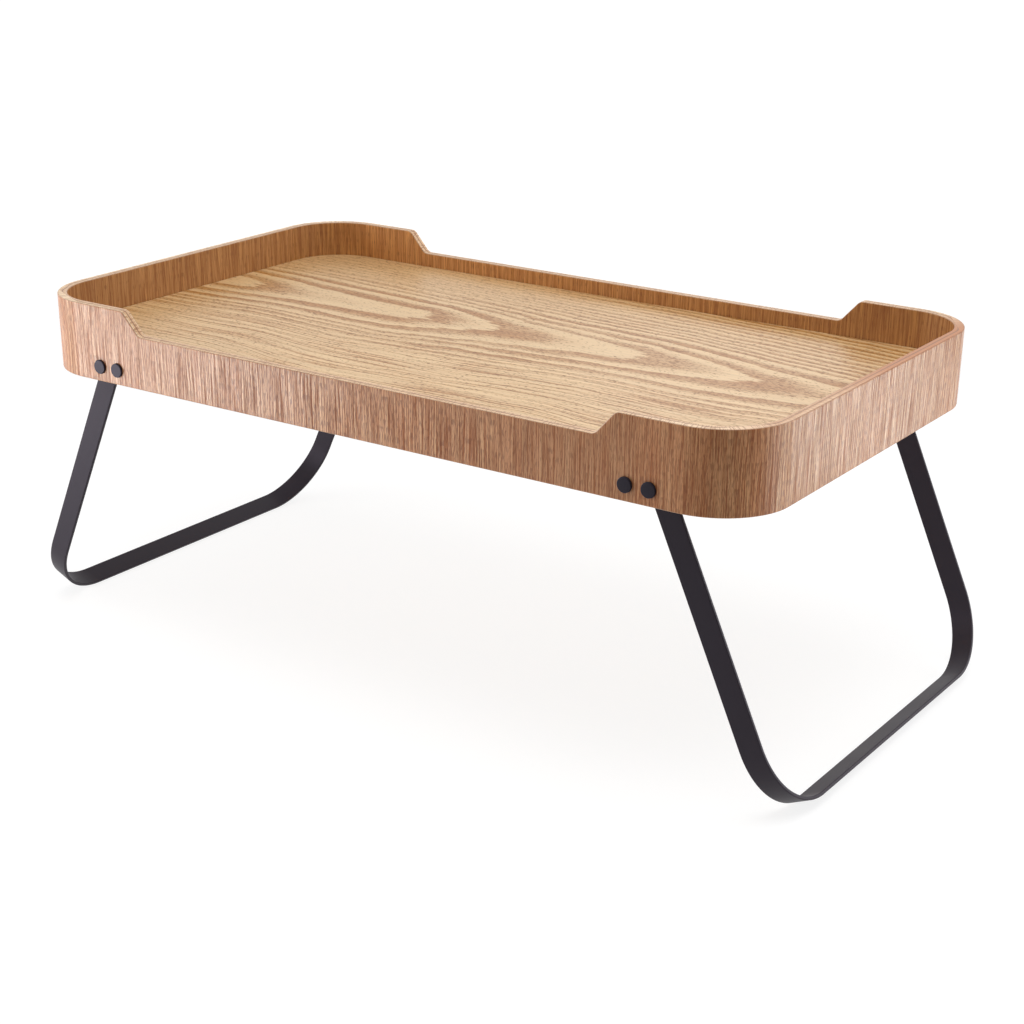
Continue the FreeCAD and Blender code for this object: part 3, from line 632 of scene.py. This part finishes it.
def bandPlace(x, y, nearby=None):
    # distance round the rim from the middle of the back, within half a round of nearby, and depth
    # in from the outer face: a walk past the corners' centres and a turn about them
    radius = rim["radius"] * mm
    halfLength = rim["length"] / 2 * mm - radius
    halfWidth = rim["width"] / 2 * mm - radius
    coreX = max(-halfLength, min(halfLength, x))
    coreY = max(-halfWidth, min(halfWidth, y))
    if coreY == halfWidth and x <= halfLength:
        walk = -coreX
    elif coreX == -halfLength:
        walk = halfLength + halfWidth - coreY
    elif coreY == -halfWidth:
        walk = 2 * (halfLength + halfWidth) + coreX
    else:
        walk = 3 * (halfLength + halfWidth) + coreY
    turn = (math.atan2(y - coreY, x - coreX) - math.pi / 2) % (2 * math.pi)
    distance = walk + turn * radius
    whole = 4 * (halfLength + halfWidth) + 2 * math.pi * radius
    if nearby is not None and abs(distance - nearby) > whole / 2:
        distance += whole if nearby > distance else -whole
    return distance, radius - math.hypot(x - coreX, y - coreY)


def handholdCutter():
    # everything above the rim's top line, as one block across both long sides
    low, high = rim["handholdHeight"], rim["height"]
    slant = math.radians(rim["handholdSlant"])
    shoulder = rim["length"] / 2 - rim["handholdInset"]
    lean = (high - low) / math.tan(slant) / 2
    far = rim["length"] / 2 + rim["cutterSpare"]
    over = high + rim["cutterSpare"]
    line = [(-far, high), (-shoulder - lean, high), (-shoulder + lean, low), (shoulder - lean, low),
            (shoulder + lean, high), (far, high), (far, over), (-far, over)]
    shape = bmesh.new()
    corners = [shape.verts.new((x * mm, -rim["width"] * mm, z * mm)) for x, z in line]
    shape.faces.new(corners)
    roundOff(shape, corners[1:5], rim["handholdFillet"] * math.tan(slant / 2), rim["handholdSegments"],
             "VERTICES")
    raiseFaces(shape, 2 * rim["width"], (0, 1, 0))
    return toObject("handholdCutter", shape)


def grooveCutter():
    # the slot that holds the panel's tongue
    shape = rimOutline(rim["thickness"] - rim["grooveDepth"])
    raiseFaces(shape, rim["grooveHeight"])
    lift(shape, rim["grooveFloor"])
    return toObject("grooveCutter", shape)


def boltHoleCutter():
    shape = bmesh.new()
    turn = Matrix.Rotation(math.pi / 2, 4, "X")
    for side in (-1, 1):
        for x in (hinge["pivotX"], hinge["pivotX"] - hinge["boltSpacing"]):
            across = Matrix.Translation((side * x * mm, 0, (hinge["pivotZ"] - rim["underside"]) * mm))
            addRod(shape, rim["boltHole"] / 2, 2 * rim["width"], across @ turn)
    return toObject("boltHoleCutter", shape)


def makeRim():
    # a ring raised to a band, lowered at the handholds, grooved and drilled, with its edges eased
    blank = rimOutline(0)
    middle = blank.faces[:]
    bmesh.ops.inset_region(blank, faces=middle, thickness=rim["thickness"] * mm, use_even_offset=True,
                           use_boundary=True)
    bmesh.ops.delete(blank, geom=middle, context="FACES")
    raiseFaces(blank, rim["height"] + rim["blankSpare"])
    piece = toObject("rimBand", blank, outerVeneer, innerVeneer, plyEdge)
    for cutter in (handholdCutter(), grooveCutter(), boltHoleCutter()):
        cutAway(piece, cutter)

    shape = reopened(piece)
    sliceAcross(shape, 0)       # the band's map starts and ends at the middle of the back
    # the rim's lower and upper edges are sawn, but not the groove's and the holes' faces between them
    lowest = rim["ease"] * mm
    highest = (rim["handholdHeight"] - rim["handholdFillet"]) * mm
    sawn = {face for face in shape.faces if abs(face.normal.z) > rim["sawnTilt"]
            and not lowest < face.calc_center_median().z < highest}
    arrises = [edge for edge in shape.edges
               if len(edge.link_faces) == 2 and sum(face in sawn for face in edge.link_faces) == 1]
    roundOff(shape, arrises, rim["ease"], rim["easeSegments"])
    lift(shape, rim["underside"])

    bandMap = shape.loops.layers.uv.new("bandMap")
    shape.normal_update()
    for face in shape.faces:
        centre = face.calc_center_median()
        around, depth = bandPlace(centre.x, centre.y)
        for loop in face.loops:
            loop[bandMap].uv = bandPlace(loop.vert.co.x, loop.vert.co.y, around)
        if abs(face.normal.z) > rim["edgeTilt"]:
            face.material_index = 2
        else:
            face.material_index = 0 if depth < rim["thickness"] / 2 * mm else 1
    shape.to_mesh(piece.data)
    shape.free()
    smoothShade(piece)
    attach(piece, "tray")
    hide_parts("rim_band")


panel = {
    "tongue": 3.0,
    "tongueThickness": 4.0,
    "seam": 0.2,
    "thickness": 6.0,
    "underside": 212.5,
    "ease": 0.3,
    "easeSegments": 2,
}


def makePanel():
    # a board whose edge is the tongue in the rim's groove, and whose face stands up inside the rim
    shape = rimOutline(rim["thickness"] - panel["tongue"])
    raiseFaces(shape, panel["tongueThickness"])
    top = [face for face in shape.faces if face.normal.z > faceUp]
    bmesh.ops.inset_region(shape, faces=top, thickness=(panel["tongue"] + panel["seam"]) * mm,
                           use_even_offset=True, use_boundary=True)
    rise = bmesh.ops.extrude_face_region(shape, geom=top)
    risen = [item for item in rise["geom"] if isinstance(item, bmesh.types.BMVert)]
    step = (panel["thickness"] - panel["tongueThickness"]) * mm
    bmesh.ops.translate(shape, vec=(0, 0, step), verts=risen)
    bmesh.ops.delete(shape, geom=[face for face in top if face.is_valid], context="FACES")
    highest = max(vert.co.z for vert in shape.verts)
    edgeLine = [edge for edge in shape.edges
                if len(edge.link_faces) == 2
                and all(vert.co.z > highest - tiny * mm for vert in edge.verts)]
    roundOff(shape, edgeLine, panel["ease"], panel["easeSegments"])
    lift(shape, panel["underside"])
    bmesh.ops.recalc_face_normals(shape, faces=shape.faces[:])
    piece = toObject("trayPanel", shape, panelVeneer)
    smoothShade(piece)
    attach(piece, "tray")
    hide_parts("tray_panel")


strap = {
    "width": 16.0,
    "thickness": 2.5,
    "edge": 0.5,
    "rounding": 0.66,       # a little over the CAD edge, so that the rounded arris stays inside it
    "edgeSegments": 3,
    "endSegments": 12,
    "bend": 50.0,
    "bendCuts": 36,
    "splay": 24.7,
    "outerFace": 156.25,    # distance of the arm's outer face from the tray's middle
    "hole": 6.1,
    "holeMargin": 0.01,     # an edge within this of the hole isn't eased
}


def strapLengths():
    # the straight arm, the radius of the bend's middle line, and half the rung
    splay = math.radians(strap["splay"])
    drop = (hinge["pivotZ"] - (strap["width"] / 2 - strap["edge"]) * math.sin(splay)) / math.cos(splay)
    return drop - strap["bend"], strap["bend"] - strap["thickness"] / 2, strap["outerFace"] - strap["bend"]


def bentPlace(run, rise):
    # where a point of the flat bar goes once it is bent: run from the bar's middle, rise from its
    # middle plane; the answer is y and z about the pivots
    arm, bendRadius, halfRung = (length * mm for length in strapLengths())
    side = 1 if run >= 0 else -1
    beyond = abs(run) - halfRung
    floor = -(arm + bendRadius)
    if beyond <= 0:
        return run, floor + rise
    angle = min(beyond / bendRadius, math.pi / 2)
    radius = bendRadius - rise
    straight = max(0.0, beyond - math.pi / 2 * bendRadius)
    y = halfRung + radius * math.sin(angle)
    z = floor + bendRadius - radius * math.cos(angle) + straight
    return side * y, z


def makeLeg(name, side, node):
    # a flat bar with round ends is drilled, eased and then bent to a U
    arm, bendRadius, halfRung = strapLengths()
    halfRun = halfRung + math.pi / 2 * bendRadius + arm
    flat = roundedFace(2 * halfRun + strap["width"], strap["width"], strap["width"] / 2 - tiny,
                       strap["endSegments"])
    raiseFaces(flat, strap["thickness"])
    mergePoints(flat, 10 * tiny)
    lift(flat, -strap["thickness"] / 2)
    bar = toObject(name, flat, powderCoat)
    drill = bmesh.new()
    for end in (-1, 1):
        place = Matrix.Translation((end * halfRun * mm, 0, 0))
        addRod(drill, strap["hole"] / 2, 4 * strap["thickness"], place)
    cutAway(bar, toObject("strapDrill", drill))

    # the drilled faces are made whole again, so that the easing follows the outline alone
    shape = reopened(bar)
    bmesh.ops.dissolve_limit(shape, angle_limit=0.001, verts=shape.verts[:], edges=shape.edges[:],
                             delimit={"NORMAL"})
    arrises = []
    for edge in shape.edges:
        flatFaces = [face for face in edge.link_faces if abs(face.normal.z) > faceUp]
        fromAxis = max(math.hypot(abs(vert.co.x) - halfRun * mm, vert.co.y) for vert in edge.verts)
        if len(flatFaces) == 1 and fromAxis > (strap["hole"] / 2 + strap["holeMargin"]) * mm:
            arrises.append(edge)
    roundOff(shape, arrises, strap["rounding"], strap["edgeSegments"])
    for cut in range(strap["bendCuts"] + 1):
        station = halfRung + math.pi / 2 * bendRadius * cut / strap["bendCuts"]
        for end in (-1, 1):
            sliceAcross(shape, end * station)
    for vert in shape.verts:
        run, across, rise = vert.co
        vert.co = Vector((across, *bentPlace(run, rise)))
    splay = Matrix.Rotation(-side * math.radians(strap["splay"]), 4, "Y")
    pivot = Matrix.Translation((side * hinge["pivotX"] * mm, 0, hinge["pivotZ"] * mm))
    bmesh.ops.transform(shape, matrix=pivot @ splay, verts=shape.verts)
    bmesh.ops.recalc_face_normals(shape, faces=shape.faces[:])
    shape.to_mesh(bar.data)
    shape.free()
    smoothShade(bar)
    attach(bar, node)
    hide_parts(node)


fastener = {
    # radii, and depths inwards from the wall's outer face
    "headRadius": 5.0,
    "headThickness": 1.6,
    "headEase": 0.5,
    "barrelRadius": 3.0,
    "boreRadius": 2.05,
    "boreEnd": 1.2,
    "pivotReach": 14.1,
    "fixingReach": 6.7,
    "threadRadius": 2.0,
    "pivotTip": 6.1,
    "screwHeadRadius": 4.5,
    "screwHeadThickness": 2.2,
    "screwChamfer": 0.4,
    "pivotSocket": 2.5,
    "fixingSocket": 2.0,
    "socketDepth": 1.3,
    "fixingTip": 1.5,
    "countersinkRadius": 4.0,
    "seat": 9.5,
    "washerBore": 3.05,
    "washerRadius": 7.0,
    "washerThickness": 1.2,
    "washerEase": 0.2,
    "springBore": 3.2,
    "springRadius": 5.2,
    "springThickness": 0.5,
    "springCone": 0.3,
    "steps": 48,
    "easeSegments": 3,
}


def turned(outline, rounded=()):
    # spins pairs of radius and depth about the bolt's axis; depth runs inwards from the wall's face.
    # rounded names the radius, depth and easing of rings that get an eased edge
    shape = bmesh.new()
    points = [shape.verts.new((radius * mm, 0, -depth * mm)) for radius, depth in outline]
    for one, other in zip(points, points[1:] + points[:1]):
        shape.edges.new((one, other))
    bmesh.ops.spin(shape, geom=shape.verts[:] + shape.edges[:], cent=(0, 0, 0), axis=(0, 0, 1),
                   dvec=(0, 0, 0), angle=2 * math.pi, steps=fastener["steps"], use_merge=True,
                   use_duplicate=False)
    mergePoints(shape)
    loose = [edge for edge in shape.edges if not edge.link_faces]
    bmesh.ops.delete(shape, geom=loose, context="EDGES")
    bmesh.ops.recalc_face_normals(shape, faces=shape.faces[:])
    for radius, depth, ease in rounded:
        line = Vector((radius, -depth)) * mm
        ring = [edge for edge in shape.edges
                if all((Vector((vert.co.xy.length, vert.co.z)) - line).length < tiny * mm
                       for vert in edge.verts)]
        roundOff(shape, ring, ease, fastener["easeSegments"])
    return shape


def sinkSocket(piece, width, face):
    # a hexagon socket opening inwards
    hexagon = bmesh.new()
    addRod(hexagon, width / 2 / math.cos(math.pi / 6), 2 * fastener["socketDepth"],
           Matrix.Translation((0, 0, -face * mm)), segments=6)
    cutAway(piece, toObject("socketCutter", hexagon))
    shape = reopened(piece, 2 * tiny)
    shape.to_mesh(piece.data)
    shape.free()


black = {"material": blackZinc, "slot": "black_bolt"}


def barrel(reach):
    # a round flat head on the wall, and a barrel through it with a bore for its screw
    head, thickness = fastener["headRadius"], fastener["headThickness"]
    outside, bore, end = fastener["barrelRadius"], fastener["boreRadius"], fastener["boreEnd"]
    return black | {
        "outline": [(0, -thickness), (head, -thickness), (head, 0), (outside, 0), (outside, reach),
                    (bore, reach), (bore, end), (0, end)],
        "rounded": [(head, -thickness, fastener["headEase"])],
    }


def pivotScrew():
    reach, thread, head = fastener["pivotReach"], fastener["threadRadius"], fastener["screwHeadRadius"]
    face = reach + fastener["screwHeadThickness"]
    return black | {
        "outline": [(0, fastener["pivotTip"]), (thread, fastener["pivotTip"]), (thread, reach),
                    (head, reach), (head, face), (0, face)],
        "rounded": [(head, face, fastener["screwChamfer"])],
        "socket": (fastener["pivotSocket"], face),
    }


def fixingScrew():
    # countersunk, with its face flush with the bracket
    thread, head, face = fastener["threadRadius"], fastener["countersinkRadius"], fastener["seat"]
    return black | {
        "outline": [(0, fastener["fixingTip"]), (thread, fastener["fixingTip"]),
                    (thread, face - (head - thread)), (head, face), (0, face)],
        "socket": (fastener["fixingSocket"], face),
    }


def pivotWasher():
    bore, radius, ease = fastener["washerBore"], fastener["washerRadius"], fastener["washerEase"]
    near = fastener["seat"]
    far = near + fastener["washerThickness"]
    return {
        "outline": [(bore, near), (radius, near), (radius, far), (bore, far)],
        "rounded": [(radius, near, ease), (radius, far, ease)],
        "material": nylon, "slot": "nylon",
    }


def springWasher():
    # a shallow cone whose rim bears on the strap
    bore, radius, far = fastener["springBore"], fastener["springRadius"], fastener["pivotReach"]
    near, cone = far - fastener["springThickness"], fastener["springCone"]
    return {
        "outline": [(bore, near), (radius, near - cone), (radius, far - cone), (bore, far)],
        "material": springSteel, "slot": "spring_steel",
    }


# pieces at the pivot, and pieces at the fixing hole beside it
turnedPieces = {
    "pivot_barrel": barrel(fastener["pivotReach"]),
    "fixing_barrel": barrel(fastener["fixingReach"]),
    "pivot_screw": pivotScrew(),
    "fixing_screw": fixingScrew(),
    "pivot_washer": pivotWasher(),
    "spring_washer": springWasher(),
}


def makeHinge(wallSide, endSide, wallName, endName):
    # one corner's turned pieces; their own Z axis is laid along Y, pointing out of the wall
    outwards = Matrix.Rotation(-wallSide * math.pi / 2, 4, "X")
    for kind, plan in turnedPieces.items():
        node = f"{wallName}_{endName}_{kind}"
        shape = turned(plan["outline"], plan.get("rounded", ()))
        name = node.title().replace("_", "")
        piece = toObject(name[0].lower() + name[1:], shape, plan["material"])
        if "socket" in plan:
            sinkSocket(piece, *plan["socket"])
        spacing = hinge["boltSpacing"] if kind.startswith("fixing") else 0.0
        x = endSide * (hinge["pivotX"] - spacing) * mm
        place = Matrix.Translation((x, wallSide * hinge["wall"] * mm, hinge["pivotZ"] * mm))
        piece.data.transform(place @ outwards)
        smoothShade(piece)
        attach(piece, "tray")
        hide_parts(node)
    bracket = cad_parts[f"{wallName}_{endName}_hinge_bracket"]
    bracket.data.materials.clear()
    bracket.data.materials.append(powderCoat)


makeRim()
makePanel()
print("tray made")
makeLeg("leftLegStrap", -1, "left_leg")
makeLeg("rightLegStrap", 1, "right_leg")
print("legs made")
for wallSide, wallName in ((-1, "front"), (1, "back")):
    for endSide, endName in ((-1, "left"), (1, "right")):
        makeHinge(wallSide, endSide, wallName, endName)
print("hinges made")


stage = {
    # metres, and shares of full white
    "floorSize": 12.0,
    "floorColour": "#DEDCD9",
    "whiteLevel": 0.82,
    "shadowShare": 0.24,
    "sweepStart": 0.9,      # the floor turns fully white between these distances from the object
    "sweepEnd": 1.7,
    "cameraSide": (0.571, -0.821, 0.0),
    "skyBehind": 0.65,
    "skyFront": 0.12,
    "skyTurn": (-0.6, 0.5),     # the sky's light falls off over this, towards the camera's side
    "reflectedLeast": 0.05,
    "floorFade": (0.2, 0.7),    # the reflected floor and sky fade to that over these
    "skyFade": (0.1, 0.75),
    "lights": {
        # place and target in metres, size in metres, power in watts
        "topSoftbox": ((0.3, -0.2, 1.7), (0.05, 0, 0.2), (1.6, 1.2), 18.2),
        "leftSoftbox": ((-1.115, -0.64, 0.35), (-0.1, -0.1, 0.2), (0.8, 0.66), 6.5),
        "rightSoftbox": ((1.33, 0.735, 0.38), (0.2, 0, 0.2), (1.1, 0.75), 7.0),
        # small soft lights that only put a sheen on the lacquer
        "leftGlow": ((-0.504, -0.52, 0.086), (-0.17, -0.167, 0.2), (0.3, 0.16), 0.95),
        "rightGlow": ((0.505, 0.432, 0.08), (0.29, -0.02, 0.2), (0.13, 0.14), 0.13),
        "cornerGlow": ((0.575, 0.03, 0.085), (0.285, -0.135, 0.2), (0.24, 0.16), 0.16),
        "panelGlow": ((-0.15, 0.62, 0.5), (0.2, -0.09, 0.22), (0.3, 0.15), 0.15),
    },
}


def lookingRays(tree):
    # camera rays, and every ray that looks at the stage, straight or by a reflection
    path = addNode(tree, "LightPath")
    camera = path.outputs["Is Camera Ray"]
    straight = addNode(tree, "Math", {0: camera, 1: path.outputs["Is Transmission Ray"]}, operation="ADD")
    looking = addNode(tree, "Math", {0: straight, 1: path.outputs["Is Glossy Ray"]},
                      operation="ADD", use_clamp=True)
    return camera, looking


def towardsCamera(tree, place, span, there, here):
    # a level that changes softly over span from there, away from the camera, to here on its side
    nearness = addNode(tree, "VectorMath", {0: place, 1: stage["cameraSide"]}, operation="DOT_PRODUCT")
    return addNode(tree, "MapRange", {0: nearness, 1: span[0], 2: span[1], 3: there, 4: here}, **softly)


def makeFloor():
    # a white sweep: the camera and reflections see it white with a faint shadow, and dimmer towards
    # the camera in reflections; everything else sees a pale table
    shape = bmesh.new()
    bmesh.ops.create_grid(shape, x_segments=4, y_segments=4, size=stage["floorSize"] / 2)
    material, tree = newMaterial("studioFloor")
    place = addNode(tree, "TexCoord").outputs["Object"]
    camera, looking = lookingRays(tree)
    distance = addNode(tree, "VectorMath", {0: place}, operation="LENGTH")
    sweep = addNode(tree, "MapRange", {
        0: distance, 1: stage["sweepStart"], 2: stage["sweepEnd"], 3: stage["whiteLevel"], 4: 1.0})
    dim = towardsCamera(tree, place, stage["floorFade"], 1.0, stage["reflectedLeast"])
    strength = addNode(tree, "Mix", {0: camera, 2: dim, 3: sweep})
    pale = addNode(tree, "BsdfDiffuse", {"Color": stage["floorColour"]})
    shadow = addNode(tree, "BsdfDiffuse", {"Color": [stage["shadowShare"]] * 3 + [1.0]})
    white = addNode(tree, "Emission", {"Color": (1, 1, 1, 1), "Strength": strength})
    seen = addNode(tree, "AddShader", {0: shadow, 1: white})
    mixed = addNode(tree, "MixShader", {0: looking, 1: pale, 2: seen})
    addNode(tree, "OutputMaterial", {"Surface": mixed})
    floor = toObject("studioFloor", shape, material)


def makeWorld():
    # white to the camera; reflections see it white behind the object and dim on the camera's side
    world = bpy.data.worlds.new("studioWorld")
    world.use_nodes = True
    tree = world.node_tree
    tree.nodes.clear()
    place = addNode(tree, "TexCoord").outputs["Generated"]
    camera, looking = lookingRays(tree)
    level = towardsCamera(tree, place, stage["skyTurn"], stage["skyBehind"], stage["skyFront"])
    dim = towardsCamera(tree, place, stage["skyFade"], 1.0, stage["reflectedLeast"])
    strength = addNode(tree, "Mix", {0: camera, 2: dim, 3: 1.0})
    lit = addNode(tree, "Background", {"Color": (1, 1, 1, 1), "Strength": level})
    white = addNode(tree, "Background", {"Color": (1, 1, 1, 1), "Strength": strength})
    mixed = addNode(tree, "MixShader", {0: looking, 1: lit, 2: white})
    addNode(tree, "OutputWorld", {"Surface": mixed})
    scene.world = world


def makeLights():
    for name, (place, target, size, power) in stage["lights"].items():
        light = bpy.data.lights.new(name, "AREA")
        light.shape = "RECTANGLE"
        light.size, light.size_y = size
        light.energy = power
        lamp = addObject(name, light)
        lamp.location = place
        lamp.rotation_euler = (Vector(target) - Vector(place)).to_track_quat("-Z", "Y").to_euler()
        lamp.visible_camera = False


view = {
    # the camera's place in metres, its turns in degrees, and its lens and sensor in mm
    "place": (0.765087, -1.103419, 0.577065),
    "turn": 34.8075,
    "tip": 23.9755,
    "roll": 0.3628,
    "lens": 68.783,
    "sensor": 36.0,
    "shift": (0.017506, 0.137976),
    "clip": (0.01, 50.0),
}


def makeCamera():
    camera = bpy.data.cameras.new("photoCamera")
    camera.sensor_fit = "HORIZONTAL"
    camera.sensor_width = view["sensor"]
    camera.lens = view["lens"]
    camera.shift_x, camera.shift_y = view["shift"]
    camera.clip_start, camera.clip_end = view["clip"]
    holder = addObject("photoCamera", camera)
    turn = Matrix.Rotation(math.radians(view["turn"]), 4, "Z")
    tip = Matrix.Rotation(math.radians(90 - view["tip"]), 4, "X")
    roll = Matrix.Rotation(math.radians(view["roll"]), 4, "Z")
    holder.matrix_world = Matrix.Translation(view["place"]) @ turn @ tip @ roll
    scene.camera = holder


makeFloor()
makeWorld()
makeLights()
makeCamera()
scene.view_settings.view_transform = "Standard"
print("stage set")
